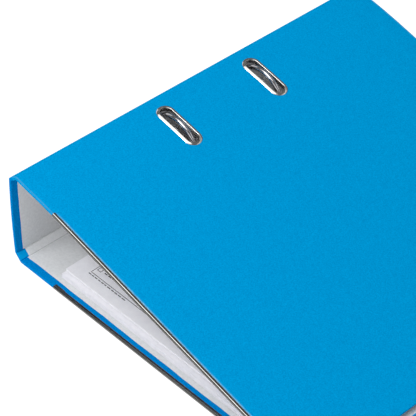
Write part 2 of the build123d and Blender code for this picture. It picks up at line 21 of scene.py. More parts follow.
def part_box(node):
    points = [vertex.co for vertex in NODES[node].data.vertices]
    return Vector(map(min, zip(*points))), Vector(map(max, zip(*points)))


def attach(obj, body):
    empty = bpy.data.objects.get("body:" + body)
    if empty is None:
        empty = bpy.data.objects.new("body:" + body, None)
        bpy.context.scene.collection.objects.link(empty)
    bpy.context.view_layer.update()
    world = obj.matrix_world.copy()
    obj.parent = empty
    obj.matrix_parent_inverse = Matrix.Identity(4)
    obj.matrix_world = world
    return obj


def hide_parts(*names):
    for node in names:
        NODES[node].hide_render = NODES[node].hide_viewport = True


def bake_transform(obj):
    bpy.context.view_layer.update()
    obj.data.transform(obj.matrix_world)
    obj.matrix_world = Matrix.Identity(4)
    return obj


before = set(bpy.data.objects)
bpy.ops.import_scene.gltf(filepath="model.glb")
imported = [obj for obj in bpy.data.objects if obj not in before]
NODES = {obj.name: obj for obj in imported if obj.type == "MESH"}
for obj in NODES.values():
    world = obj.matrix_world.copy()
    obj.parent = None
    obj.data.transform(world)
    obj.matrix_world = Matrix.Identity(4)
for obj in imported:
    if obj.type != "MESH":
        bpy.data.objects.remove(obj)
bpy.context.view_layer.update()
MM = 0.001

# ---- Cover, as in the CAD: lengths in millimetres, directions in degrees up from x ----
WIDTH = 285.0
HEIGHT = 318.0
MIDDLE_Y = HEIGHT / 2
SPINE_FACE = 64.2
SPINE_BOW = 0.8              # how far the spine's middle stands out of its flat
LOWER_STRIP = 8.0
UPPER_STRIP = 8.8
LOWER_DIR = 135.0
SPINE_DIR = 90.9
UPPER_DIR = 35.5
NEAR_TILT = 10.8             # the front cover's slope beside its crease
FAR_TILT = 14.4              # ... and beyond its gentle bend
BEND_START = 20.0            # where the bend lies, measured from that crease
BEND_END = 46.0
CREASE_1_X = LOWER_STRIP * math.sin(math.radians(45))
SHIFT_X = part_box("back_cover_covering")[1].x / MM - WIDTH

# Places along the outer surface, measured from the first crease
CREASE_1 = 0.0
CREASE_2 = CREASE_1 + LOWER_STRIP
CREASE_3 = CREASE_2 + SPINE_FACE
CREASE_4 = CREASE_3 + UPPER_STRIP
BACK_END = CREASE_1_X - WIDTH
FRONT_END = CREASE_4 + WIDTH - CREASE_1_X
CREASES = (
    (CREASE_1, 180.0 - LOWER_DIR),
    (CREASE_2, LOWER_DIR - SPINE_DIR),
    (CREASE_3, SPINE_DIR - UPPER_DIR),
    (CREASE_4, UPPER_DIR + NEAR_TILT),
)
MITRE_REACH = 4.0            # how far from a crease the mitre fades out
SOFTEN = 0.6                 # half the length over which a crease is rounded
CREASE_REACH = 4.0           # how far a blended crease piece reaches over a panel
CREASE_SPANS = (             # each piece's reach before and after its crease
    (CREASE_REACH, LOWER_STRIP / 2),
    (LOWER_STRIP / 2, CREASE_REACH),
    (CREASE_REACH, UPPER_STRIP / 2),
    (UPPER_STRIP / 2, CREASE_REACH),
)
PRESSED = (0.6, 0.6, 0.1, 0.6)   # how deep each crease is pressed in on the covering's inside
LINING_PRESSED = 0.5         # ... and in the lining
PRESSED_HALF = 0.5           # half width of a pressed line

WRAP_THICK = 2.2             # board with covering paper on both sides
WRAP_ROUND = 0.45
LINING_TOP = 2.08            # depths of the lining's two faces below the outer surface
LINING_BOTTOM = 2.3
LINING_ROUND = 0.08
LINING_BEDDED = 0.4          # how much further into the board the lining starts at a crease
LINING_RAGGED = 0.25         # how far its cut edge wanders
MARGIN = 5.6                 # the turned-in covering paper that shows beside the lining
STRIP_MARGIN = 7.0           # ... on the joint strips
RAIL_LIP = 2.15              # how far a rail's lips reach in over its cover

PANEL_PACE = 3.0             # mesh spacing across a panel
CREASE_PACE = 0.25           # ... across a crease
LONG_PACE = 14.0             # ... and up the file
SHARP = 35.0                 # edges that turn by more degrees than this stay sharp


def polar(degrees, length=1.0):
    angle = math.radians(degrees)
    return Vector((length * math.cos(angle), length * math.sin(angle)))


CREASE_2_POINT = Vector((CREASE_1_X, 0)) + polar(LOWER_DIR, LOWER_STRIP)
CREASE_3_POINT = CREASE_2_POINT + polar(SPINE_DIR, SPINE_FACE)
CREASE_4_POINT = CREASE_3_POINT + polar(UPPER_DIR, UPPER_STRIP)


def front_point(t):
    """Point and direction on the front cover, t along it from its crease."""
    bend = math.radians(FAR_TILT - NEAR_TILT)
    bend_r = (BEND_END - BEND_START) / bend
    start = CREASE_4_POINT + polar(-NEAR_TILT, BEND_START)
    if t <= BEND_START:
        return CREASE_4_POINT + polar(-NEAR_TILT, t), -NEAR_TILT
    centre = start + polar(-NEAR_TILT - 90, bend_r)
    turned = min(t - BEND_START, BEND_END - BEND_START) / bend_r
    tilt = -NEAR_TILT - math.degrees(turned)
    point = centre + polar(90 + tilt, bend_r)
    return point + polar(tilt, max(0.0, t - BEND_END)), tilt


def outer_point(s):
    """Point and direction of travel on the outer surface, s along it from the first crease."""
    if s < CREASE_1:
        return Vector((CREASE_1_X - s, 0)), 180.0
    if s < CREASE_2:
        return Vector((CREASE_1_X, 0)) + polar(LOWER_DIR, s), LOWER_DIR
    if s < CREASE_3:
        across = 2 * (s - CREASE_2) / SPINE_FACE - 1
        bow = polar(SPINE_DIR + 90, SPINE_BOW * (1 - across**2))
        lean = math.degrees(math.atan(4 * SPINE_BOW * across / SPINE_FACE))
        return CREASE_2_POINT + polar(SPINE_DIR, s - CREASE_2) + bow, SPINE_DIR - lean
    if s < CREASE_4:
        return CREASE_3_POINT + polar(UPPER_DIR, s - CREASE_3), UPPER_DIR
    return front_point(s - CREASE_4)


def sharp_station(s):
    """Outer point, and the way into the file per millimetre of depth, with sharp creases."""
    point, direction = outer_point(s)
    inward = polar(direction - 90)
    for crease, turn in CREASES:
        away = s - crease
        fade = max(0.0, 1 - abs(away) / MITRE_REACH)
        side = math.copysign(1.0, away) if away else 1.0
        inward = inward + polar(direction, side * fade * math.tan(math.radians(turn / 2)))
    return point.x, point.y, inward.x, inward.y


@lru_cache(maxsize=None)
def station(s):
    """The same with each crease rounded, as the mean of points on either side."""
    samples = [sharp_station(s + k * SOFTEN) for k in (-1, -0.6, -0.2, 0.2, 0.6, 1)]
    return tuple(sum(values) / len(samples) for values in zip(*samples))


def row(x, y, z):
    """A point of the part's own frame, in metres in the row frame."""
    return Vector((x + SHIFT_X, y - MIDDLE_Y, z)) * MM


def place(s, y, depth):
    """A point in the cover: along its outer surface, up the file, and below the surface."""
    x, z, in_x, in_z = station(round(s, 4))
    return row(x + in_x * depth, y, z + in_z * depth)


# ---- Mesh helpers ----
def link_mesh(name, points, faces):
    mesh = bpy.data.meshes.new(name)
    mesh.from_pydata([tuple(p) for p in points], [], faces)
    obj = bpy.data.objects.new(name, mesh)
    bpy.context.scene.collection.objects.link(obj)
    return obj


def shade(obj, sharp):
    """Smooth shading, with edges sharper than the angle kept sharp."""
    obj.data.shade_smooth()
    obj.data.set_sharp_from_angle(angle=math.radians(sharp))


def make_piece(name, points, faces, sharp=SHARP):
    obj = link_mesh(name, points, faces)
    bm = bmesh.new()
    bm.from_mesh(obj.data)
    bmesh.ops.remove_doubles(bm, verts=bm.verts, dist=1e-7)
    bmesh.ops.recalc_face_normals(bm, faces=bm.faces)
    bm.to_mesh(obj.data)
    bm.free()
    shade(obj, sharp)
    return obj


def cut(obj, cutters):
    """Takes the cutters out of the piece and leaves plain geometry."""
    for cutter in cutters:
        modifier = obj.modifiers.new("cut", "BOOLEAN")
        modifier.operation = "DIFFERENCE"
        modifier.solver = "EXACT"
        modifier.object = cutter
    bpy.context.view_layer.update()
    graph = bpy.context.evaluated_depsgraph_get()
    mesh = bpy.data.meshes.new_from_object(obj.evaluated_get(graph))
    obj.modifiers.clear()
    obj.data = mesh
    shade(obj, SHARP)


def drop_all(objects):
    for obj in objects:
        bpy.data.objects.remove(obj)


def steps(radius):
    """Distances from an edge that draw its rounding."""
    return [radius * share for share in (0, 0.05, 0.18, 0.4, 0.68, 1.0)]


def spread(low, high, pace):
    """Evenly spaced values from low to high, both included."""
    count = max(1, round((high - low) / pace))
    return [low + (high - low) * i / count for i in range(count + 1)]


def smooth(value):
    """0 to 1 with a soft start and end."""
    value = min(1.0, max(0.0, value))
    return value * value * (3 - 2 * value)


def rounded_values(low, high, radius, pace, ends=(True, True)):
    """Values from low to high, closer together where an end is rounded."""
    first = [low + step for step in steps(radius)] if ends[0] else [low]
    last = [high - step for step in reversed(steps(radius))] if ends[1] else [high]
    return first[:-1] + spread(first[-1], last[0], pace) + last[1:]


def loft(rings, capped=True):
    """Points and faces of a skin over closed rings of equal length."""
    size = len(rings[0])
    points = [point for ring in rings for point in ring]
    faces = []
    for i in range(len(rings) - 1):
        for j in range(size):
            k = (j + 1) % size
            faces.append((i * size + j, i * size + k, (i + 1) * size + k, (i + 1) * size + j))
    if capped:
        faces.append(tuple(range(size)))
        faces.append(tuple(len(points) - size + j for j in reversed(range(size))))
    return points, faces


def rim_of(rows, columns):
    """Numbers of the outermost points of a grid, in order round it."""
    last = (rows - 1) * columns
    rim = [*range(columns)]
    rim += [i * columns + columns - 1 for i in range(1, rows)]
    rim += [last + j for j in range(columns - 2, -1, -1)]
    rim += [i * columns for i in range(rows - 2, 0, -1)]
    return rim


def wave(value, seed):
    """A gentle irregular line between about -1 and 1."""
    phases = (0.9 * seed, 2.3 * seed, 4.1 * seed)
    waves = zip((0.11, 0.29, 0.63), (0.55, 0.3, 0.15), phases)
    return sum(share * math.sin(pace * value + phase) for pace, share, phase in waves)


def lining_margin(s):
    """Covering paper left showing beside the lining."""
    on_strip = CREASE_1 < s < CREASE_2 or CREASE_3 < s < CREASE_4
    return STRIP_MARGIN if on_strip else MARGIN


def slab(name, stations, ys, depths, radius, ends=(False, False), ragged=0.0, pressed=0.0):
    """A board or sheet in the cover, rounded along its outer edges and pressed in at creases."""
    outer_depth, inner_depth = depths
    columns = len(ys)
    outer, inner = [], []
    for s in stations:
        from_start = s - stations[0] if ends[0] else radius
        from_stop = stations[-1] - s if ends[1] else radius
        apart = [(s - crease) / PRESSED_HALF for crease, _ in CREASES]
        groove = sum(pressed * math.exp(-(share**2)) for share in apart)
        for y in ys:
            near_y = max(0.0, radius - min(y - ys[0], ys[-1] - y))
            near_s = max(0.0, radius - min(from_start, from_stop))
            off = min(radius, math.hypot(near_y, near_s))
            drop = radius - math.sqrt(radius**2 - off**2)
            side = -1 if y < MIDDLE_Y else 1
            edge_y = y
            if ragged:
                edge_y += side * (MARGIN - lining_margin(s) + ragged * wave(s, 2 + side))
            outer.append(place(s, edge_y, outer_depth + drop))
            inner.append(place(s, edge_y, inner_depth - drop - groove))
    count = len(outer)
    faces = []
    for i in range(len(stations) - 1):
        for j in range(columns - 1):
            a, b = i * columns + j, (i + 1) * columns + j
            faces.append((a, b, b + 1, a + 1))
            faces.append((count + a, count + a + 1, count + b + 1, count + b))
    rim = rim_of(len(stations), columns)
    for here, there in zip(rim, rim[1:] + rim[:1]):
        faces.append((here, there, count + there, count + here))
    return make_piece(name, outer + inner, faces)


# ---- Materials ----
def linear(*srgb):
    """Shader colour of an 8-bit screen colour."""
    values = [c / 255 for c in srgb]
    return [c / 12.92 if c <= 0.04045 else ((c + 0.055) / 1.055) ** 2.4 for c in values] + [1.0]


def add_noise(tree, coordinates, scale, stretch, detail=3.0):
    """Noise in the object's own coordinates; the scale is per metre."""
    mapping = tree.nodes.new("ShaderNodeMapping")
    mapping.inputs["Scale"].default_value = stretch
    noise = tree.nodes.new("ShaderNodeTexNoise")
    noise.inputs["Scale"].default_value = scale
    noise.inputs["Detail"].default_value = detail
    tree.links.new(coordinates, mapping.inputs["Vector"])
    tree.links.new(mapping.outputs["Vector"], noise.inputs["Vector"])
    return noise.outputs["Fac"]


def ranged(tree, value, low, high):
    """Noise, which mostly lies between 0.3 and 0.7, spread from low to high."""
    node = tree.nodes.new("ShaderNodeMapRange")
    node.inputs["From Min"].default_value = 0.3
    node.inputs["From Max"].default_value = 0.7
    node.inputs["To Min"].default_value = low
    node.inputs["To Max"].default_value = high
    tree.links.new(value, node.inputs["Value"])
    return node.outputs["Result"]


def surface(name, dark, light, mottle, rough, bumps, metallic=0.0, **sockets):
    """Two colours mottled together, varied roughness, and bump layers of (scale, stretch, height)."""
    made = bpy.data.materials.new(name)
    made.use_nodes = True
    tree = made.node_tree
    shader = tree.nodes["Principled BSDF"]
    shader.inputs["Metallic"].default_value = metallic
    for socket, value in sockets.items():
        shader.inputs[socket.replace("_", " ")].default_value = value
    coordinates = tree.nodes.new("ShaderNodeTexCoord").outputs["Object"]
    scale, stretch = mottle
    patches = add_noise(tree, coordinates, scale, stretch, 4.0)
    mix = tree.nodes.new("ShaderNodeMix")
    mix.data_type = "RGBA"
    mix.inputs["A"].default_value = dark
    mix.inputs["B"].default_value = light
    tree.links.new(ranged(tree, patches, 0.0, 1.0), mix.inputs["Factor"])
    tree.links.new(mix.outputs["Result"], shader.inputs["Base Color"])
    sheen = add_noise(tree, coordinates, scale * 0.6, stretch, 2.0)
    tree.links.new(ranged(tree, sheen, *rough), shader.inputs["Roughness"])
    normal = None
    for bump_scale, bump_stretch, height in bumps:
        bump = tree.nodes.new("ShaderNodeBump")
        bump.inputs["Distance"].default_value = height * MM
        bump.inputs["Strength"].default_value = 1.0
        grain = add_noise(tree, coordinates, bump_scale, bump_stretch, 3.0)
        tree.links.new(grain, bump.inputs["Height"])
        if normal:
            tree.links.new(normal, bump.inputs["Normal"])
        normal = bump.outputs["Normal"]
    tree.links.new(normal, shader.inputs["Normal"])
    return made


EVEN = (1, 1, 1)
ALONG = (1, 0.12, 1)         # drawn out along y
RAIL_GRAIN = (0.06, 1, 1)    # ... and along x
FIBRES = (1, 0.4, 1)
BLUE_GRAIN = [(1500, EVEN, 0.03), (420, EVEN, 0.04)]
LINING_GRAIN = [(1700, EVEN, 0.02), (300, FIBRES, 0.03)]
BLUE_LOOK = (linear(0, 133, 196), linear(0, 159, 219), (1100, EVEN), (0.5, 0.62), BLUE_GRAIN)

BLUE = surface("blue_covering_paper", *BLUE_LOOK, Specular_IOR_Level=0.0)
# Front cover's blue: rubbed wear along its bottom and top, and a painted highlight beside the rail
RUBBED_AND_HIGHLIGHTED_BLUE = surface("blue_paper_rubbed_edge_and_painted_highlight", *BLUE_LOOK, Specular_IOR_Level=0.0)
# A darker copy of the blue paper: painted shade on the turn-ins and edges inside the file
SHADED_TURNED_BLUE = surface(
    "blue_paper_turned_in_painted_shade", linear(0, 117, 190), linear(0, 138, 212), (1100, EVEN), (0.5, 0.62),
    BLUE_GRAIN, Specular_IOR_Level=0.0,
)
# A lighter copy of the blue paper: painted light on the lower joint strips' sloping faces, which face
# the light
LIT_STRIP_BLUE = surface(
    "blue_paper_joint_painted_light", linear(0, 153, 222), linear(0, 166, 234), (620, EVEN), (0.45, 0.55),
    [(1500, EVEN, 0.02), (420, EVEN, 0.03)], Specular_IOR_Level=0.03,
)
LINING = surface(
    "grey_lining_paper", linear(213, 214, 215), linear(224, 225, 226), (600, EVEN), (0.75, 0.85),
    LINING_GRAIN, Specular_IOR_Level=0.25,
)
# A lighter copy of the lining: painted light on the joint strips' sloping faces
LIT_STRIP_LINING = surface(
    "joint_lining_paper_painted_light", linear(229, 230, 231), linear(238, 239, 240), (600, EVEN), (0.75, 0.85),
    LINING_GRAIN, Specular_IOR_Level=0.25,
)
PAPER = surface(
    "filed_paper", linear(237, 236, 241), linear(243, 242, 246), (300, EVEN), (0.72, 0.82),
    [(2200, EVEN, 0.006)], Specular_IOR_Level=0.3,
)
LABEL = surface(
    "label_paper", linear(238, 238, 234), linear(246, 246, 243), (400, EVEN), (0.5, 0.6),
    [(2000, EVEN, 0.008)], Specular_IOR_Level=0.4,
)
INK = surface(
    "printing_ink", linear(30, 31, 38), linear(44, 45, 52), (900, EVEN), (0.6, 0.7),
    [(2500, EVEN, 0.004)], Specular_IOR_Level=0.3,
)
RULE_INK = surface(
    "label_rule_ink", linear(96, 112, 130), linear(110, 126, 144), (900, EVEN), (0.6, 0.7),
    [(2500, EVEN, 0.004)], Specular_IOR_Level=0.3,
)
NICKEL = surface(
    "polished_nickel", linear(176, 174, 171), linear(190, 188, 184), (260, EVEN), (0.1, 0.18),
    [(900, EVEN, 0.0015)], 1.0,
)
RAIL_STEEL = surface(
    "rail_nickel", linear(104, 104, 102), linear(116, 116, 114), (200, (0.1, 1, 1)), (0.06, 0.11),
    [(1200, RAIL_GRAIN, 0.002)], 1.0,
)
CHROME = surface(
    "chromed_wire", linear(164, 164, 168), linear(176, 176, 180), (200, EVEN), (0.05, 0.1),
    [(700, ALONG, 0.001)], 1.0,
)
ZINC = surface(
    "zinc_plate", linear(92, 94, 97), linear(108, 110, 113), (120, ALONG), (0.24, 0.38),
    [(800, ALONG, 0.004), (60, EVEN, 0.01)], 1.0,
)
LEVER = surface(
    "lever_nickel", linear(198, 198, 198), linear(212, 212, 212), (160, ALONG), (0.14, 0.24),
    [(900, ALONG, 0.002)], 1.0,
)
SPRING = surface(
    "spring_steel", linear(110, 110, 112), linear(132, 132, 134), (300, EVEN), (0.3, 0.42),
    [(900, EVEN, 0.003)], 1.0,
)


def band_share(tree, value, zero_below, full_from, full_to, zero_above):
    """A share that is 1 between the two middle values and fades to 0 at the outer two."""
    both = tree.nodes.new("ShaderNodeMath")
    both.operation = "MULTIPLY"
    for number, (none, full) in enumerate(((zero_below, full_from), (zero_above, full_to))):
        side = tree.nodes.new("ShaderNodeMapRange")
        side.interpolation_type = "SMOOTHSTEP"
        side.inputs["From Min"].default_value = none * MM
        side.inputs["From Max"].default_value = full * MM
        tree.links.new(value, side.inputs["Value"])
        tree.links.new(side.outputs["Result"], both.inputs[number])
    return both.outputs[0]


def combined(tree, operation, first, second):
    """A maths node on two values, each a number or another node's output."""
    node = tree.nodes.new("ShaderNodeMath")
    node.operation = operation
    for socket, value in zip(node.inputs, (first, second)):
        if isinstance(value, float):
            socket.default_value = value
        else:
            tree.links.new(value, socket)
    return node.outputs[0]


EDGE_WEAR = 0.3              # strength of the rubbed line along the cover's bottom and top
NO_END = (HEIGHT, 2 * HEIGHT)    # a band's upper limits where it lasts as far as the cover does


def wear_and_painted_highlight_edges(look, pale):
    """Paler, rubbed lines along the cover's bottom and top, and a stronger painted highlight beside the
    rail, where the paper rounds over the edge.
    """
    tree = look.node_tree
    shader = tree.nodes["Principled BSDF"]
    coordinates = tree.nodes.new("ShaderNodeTexCoord").outputs["Object"]
    split = tree.nodes.new("ShaderNodeSeparateXYZ")
    tree.links.new(coordinates, split.inputs["Vector"])
    from_middle = combined(tree, "ABSOLUTE", split.outputs["Y"], 0.0)
    edge = band_share(tree, from_middle, MIDDLE_Y - 1.3, MIDDLE_Y - 0.8, MIDDLE_Y - 0.4, MIDDLE_Y)
    # Painted highlight: a paler band beside the front rail's lip, where the cover's edge rounds over
    lip = RAIL_LIP - MIDDLE_Y
    beside = band_share(tree, split.outputs["Y"], lip - 0.4, lip, lip + 0.3, lip + 1.3)
    rail_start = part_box("front_edge_rail")[0][0] / MM
    along = band_share(tree, split.outputs["X"], rail_start - 1, rail_start + 9, *NO_END)
    beside = combined(tree, "MULTIPLY", beside, along)
    share = combined(tree, "MAXIMUM", combined(tree, "MULTIPLY", edge, EDGE_WEAR), beside)
    amount = add_noise(tree, coordinates, 260, FIBRES)
    share = combined(tree, "MULTIPLY", share, ranged(tree, amount, 0.4, 1.0))
    mix = tree.nodes.new("ShaderNodeMix")
    mix.data_type = "RGBA"
    mix.inputs["B"].default_value = pale
    tree.links.new(share, mix.inputs["Factor"])
    tree.links.new(shader.inputs["Base Color"].links[0].from_socket, mix.inputs["A"])
    tree.links.new(mix.outputs["Result"], shader.inputs["Base Color"])


# Rubbed wear along the edges, and a painted highlight beside the rail
wear_and_painted_highlight_edges(RUBBED_AND_HIGHLIGHTED_BLUE, linear(128, 190, 226))


def dress(obj, look):
    obj.data.materials.clear()
    obj.data.materials.append(look)


# ---- Cover ----
def blend_at(obj):
    """Bakes the piece's placement into its mesh."""
    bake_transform(obj)


def stadium_cutter(name, centre_s, centre_y, length, width):
    """A prism through the front cover with round ends."""
    half_straight, radius = (length - width) / 2, width / 2
    outline = []
    for side in (1, -1):
        for i in range(25):
            angle = math.pi * (i / 24 - 0.5)
            across, up = radius * math.cos(angle), radius * math.sin(angle)
            outline.append((side * (half_straight + across), side * up))
    rings = []
    for depth in (-3.0, 6.0):
        rings.append([place(centre_s + u, centre_y + v, depth) for u, v in outline])
    return make_piece(name, *loft(rings))


def disc_cutter(name, centre, axis, radius, low, high):
    """A cylinder along x or z, between two values on that axis."""
    rings = []
    for value in (low, high):
        ring = []
        for i in range(48):
            angle = 2 * math.pi * i / 48
            across, up = radius * math.cos(angle), radius * math.sin(angle)
            if axis == "z":
                ring.append(row(centre[0] + across, centre[1] + up, value))
            else:
                ring.append(row(value, centre[0] + across, centre[1] + up))
        rings.append(ring)
    return make_piece(name, *loft(rings))


SLOT_AT = 27.3               # from the front crease to the middle of a slot
RING_Y = (119.0, 199.0)
OPENING = (35.6, 9.0)        # length and width inside a slot's rim
HOLE = (36.6, 10.0)          # ... and of the hole cut in the cover
FINGER_Y = 76.0
FINGER_Z = (CREASE_2_POINT.y + CREASE_3_POINT.y) / 2
FINGER_R = 11.5
RIVET_X = (17.0, 55.5)
RIVET_Y = (87.0, 231.0)
RIVET_HEAD_R = 3.85
RIVET_SHANK_R = 1.95
HEAD_TOP = 0.92


def front_cutters():
    centre = CREASE_4 + SLOT_AT
    return [stadium_cutter(f"slot_cutter_{i}", centre, y, *HOLE) for i, y in enumerate(RING_Y)]


def spine_cutters():
    return [disc_cutter("finger_cutter", (FINGER_Y, FINGER_Z), "x", FINGER_R + 0.7, -6, 8)]


def rivet_cutters():
    made = []
    for i, x in enumerate(RIVET_X):
        for j, y in enumerate(RIVET_Y):
            made.append(disc_cutter(f"rivet_cutter_{i}_{j}", (x, y), "z", RIVET_HEAD_R, -1, HEAD_TOP))
            made.append(disc_cutter(f"shank_cutter_{i}_{j}", (x, y), "z", RIVET_SHANK_R, 0.5, 8))
    return made


def look_on(obj, look, chosen):
    """Gives the faces whose normal is chosen a look of their own."""
    obj.data.materials.append(look)
    last = len(obj.data.materials) - 1
    for face in obj.data.polygons:
        if chosen(face.normal):
            face.material_index = last


def faces_in_painted_light(normal):
    """The sloping faces of a joint strip, which get painted light."""
    return abs(normal.x) > 0.45 and abs(normal.z) > 0.45


def faces_in_painted_shade(normal):
    """Turn-ins and edges of the back cover and the spine, seen as the file lies: the faces that get the
    painted shade.
    """
    return normal.x > -0.3 and normal.z > -0.3


COVER_YS = rounded_values(0, HEIGHT, WRAP_ROUND, LONG_PACE)
LINED_YS = rounded_values(MARGIN, HEIGHT - MARGIN, LINING_ROUND, LONG_PACE)
PANELS = (                   # name, body, first and last station, which ends are edges, holes
    ("back", "back_cover", BACK_END, CREASE_1 - CREASE_REACH, (True, False), rivet_cutters),
    ("spine", "spine", CREASE_2 + CREASE_REACH, CREASE_3 - CREASE_REACH, (False, False), spine_cutters),
    ("front", "front_cover", CREASE_4 + CREASE_REACH, FRONT_END, (False, True), front_cutters),
)
FOLDS = ("back_fold", "spine_lower_fold", "spine_upper_fold", "front_fold")
STRIP_OF_FOLD = {"back_fold": "back_joint", "spine_upper_fold": "front_joint"}
# These folds' turn-ins get the painted shade
SHADED_INSIDE_FOLDS = FOLDS[:3]     # folds whose turn-ins show with the file shut
# Folds whose joint strip gets the painted light
LOWER_FOLDS = FOLDS[:2]


def build_panels():
    """Wrapped board and lining of the back cover, spine and front cover."""
    for name, body, low, high, ends, make_cutters in PANELS:
        cutters = make_cutters()
        stations = rounded_values(low, high, WRAP_ROUND, PANEL_PACE, ends)
        wrap = slab(f"{name}_wrap", stations, COVER_YS, (0, WRAP_THICK), WRAP_ROUND, ends)
        cut(wrap, cutters)
        dress(wrap, RUBBED_AND_HIGHLIGHTED_BLUE if name == "front" else BLUE)
        # Painted shade: a darker blue on the turn-ins and edges inside the file
        if name != "front":
            look_on(wrap, SHADED_TURNED_BLUE, faces_in_painted_shade)
        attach(wrap, body)
        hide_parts(f"{body}_covering", f"{body}_board")
        lined_low = low + (MARGIN if ends[0] else 0)
        lined_high = high - (MARGIN if ends[1] else 0)
        stations = rounded_values(lined_low, lined_high, LINING_ROUND, PANEL_PACE, ends)
        depths = (LINING_TOP, LINING_BOTTOM)
        lining = slab(
            f"{name}_lining", stations, LINED_YS, depths, LINING_ROUND, ends, LINING_RAGGED
        )
        cut(lining, cutters)
        dress(lining, LINING)
        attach(lining, body)
        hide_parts(f"{body}_lining")
        drop_all(cutters)


def build_folds():
    """Wrapped board and lining across each crease, with half of the joint strip beside it."""
    for number, fold in enumerate(FOLDS):
        crease = CREASES[number][0]
        before, after = CREASE_SPANS[number]
        stations = spread(crease - before, crease + after, CREASE_PACE)
        wrap = slab(
            f"{fold}_wrap", stations, COVER_YS, (0, WRAP_THICK), WRAP_ROUND, pressed=PRESSED[number]
        )
        dress(wrap, RUBBED_AND_HIGHLIGHTED_BLUE if fold == "front_fold" else BLUE)
        # Painted shade on the turn-ins, and painted light on the lower joint strips
        if fold in SHADED_INSIDE_FOLDS:
            look_on(wrap, SHADED_TURNED_BLUE, faces_in_painted_shade)
        if fold in LOWER_FOLDS:
            look_on(wrap, LIT_STRIP_BLUE, faces_in_painted_light)
        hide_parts(fold)
        depths = (LINING_TOP - LINING_BEDDED, LINING_BOTTOM)
        lining = slab(
            f"{fold}_lining", stations, LINED_YS, depths, LINING_ROUND,
            ragged=LINING_RAGGED, pressed=LINING_PRESSED,
        )
        dress(lining, LINING)
        # Painted light: a lighter lining on the joint strips
        look_on(lining, LIT_STRIP_LINING, faces_in_painted_light)
        if fold in STRIP_OF_FOLD:
            strip = STRIP_OF_FOLD[fold]
            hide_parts(f"{strip}_covering", f"{strip}_board")
            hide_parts(f"{strip}_lining")
        blend_at(wrap)
        blend_at(lining)


# ---- Rails ----
BACK_RAIL_AT = 34.4          # from the back crease to the back rail's start
FRONT_RAIL_AT = 38.0         # from the front crease to the front rail's start
RAIL_STOP = 4.0              # from the rails' other ends to the covers' fore edges
RAIL_TAB = 0.45              # how much wider the inner lip is where the rail starts
RAIL_TAB_LENGTH = 9.0
RAIL_OUT = 0.36              # how far the rail stands out past the cover's edge
RAIL_TURN = 1.5              # the depth where its outer side starts to curl under
RAIL_SHOULDER = [            # the rolled shoulder, as (y, depth)
    (0.6, -0.24), (0.4, -0.17), (0.15, 0.02), (-0.08, 0.23), (-0.24, 0.48), (-0.33, 0.78),
    (-RAIL_OUT, 1.1), (-RAIL_OUT, RAIL_TURN),
]


def rail_section(tab):
    """Closed outline of the channel, as (y, depth), round its outside and back along its inside."""
    half = WRAP_THICK / 2
    outside = [(RAIL_LIP, -0.06), (RAIL_LIP - 0.2, -0.2)] + RAIL_SHOULDER
    for i in range(1, 9):
        angle = math.pi * i / 16
        back = 0.96 * (1 - math.cos(angle))
        outside.append((back - RAIL_OUT, RAIL_TURN + 0.9 * math.sin(angle)))
    lip = RAIL_LIP + tab
    outside += [(lip - 0.2, WRAP_THICK + 0.2), (lip, WRAP_THICK + 0.08)]
    inside = [(lip - 0.02, WRAP_THICK - 0.05)]
    for i in range(9):
        angle = math.pi * (1.5 - i / 8)
        inside.append((0.72 + 0.7 * math.cos(angle), half - (half - 0.06) * math.sin(angle)))
    inside.append((RAIL_LIP - 0.02, 0.06))
    return outside + inside


def build_rail(name, start, stop, body):
    """Pressed channel over a bottom edge, following the cover's line."""
    towards = 1 if stop > start else -1
    length = abs(stop - start)
    tab_end = RAIL_TAB_LENGTH + 1
    rings = []
    for t in sorted({*spread(0, tab_end, 0.5), *spread(tab_end, length, PANEL_PACE)}):
        tab = RAIL_TAB * smooth((RAIL_TAB_LENGTH + 0.6 - t) / 1.2)
        rings.append([place(start + towards * t, y, depth) for y, depth in rail_section(tab)])
    obj = make_piece(name, *loft(rings), sharp=40.0)
    dress(obj, RAIL_STEEL)
    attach(obj, body)
    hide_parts(f"{body.split('_')[0]}_edge_rail")


# ---- Slot rims ----
NUB_AT = 1.3                 # from the slot's middle to the nub's middle
NUB_HALF = 2.1
NUB_OUT = 1.35
RIM_PROFILE = (              # distance out from the opening, height, share of the nub
    (2.28, 0.0, 0), (2.3, 0.1, 0), (2.18, 0.22, 0), (1.7, 0.42, 0), (1.2, 0.62, 0), (0.8, 0.76, 0),
    (0.5, 0.8, 0), (0.22, 0.68, 0.3), (0.05, 0.4, 1), (0.0, -0.1, 1), (0.0, -0.9, 1), (0.02, -1.4, 0.35),
    (0.0, -2.1, 0), (0.06, -2.6, 0), (0.35, -2.86, 0), (0.8, -2.9, 0), (1.35, -2.72, 0),
    (1.6, -2.4, 0), (1.3, -2.42, 0), (0.75, -2.55, 0), (0.45, -2.3, 0), (0.42, -0.4, 0),
    (0.46, -0.02, 0), (1.2, -0.02, 0),
)


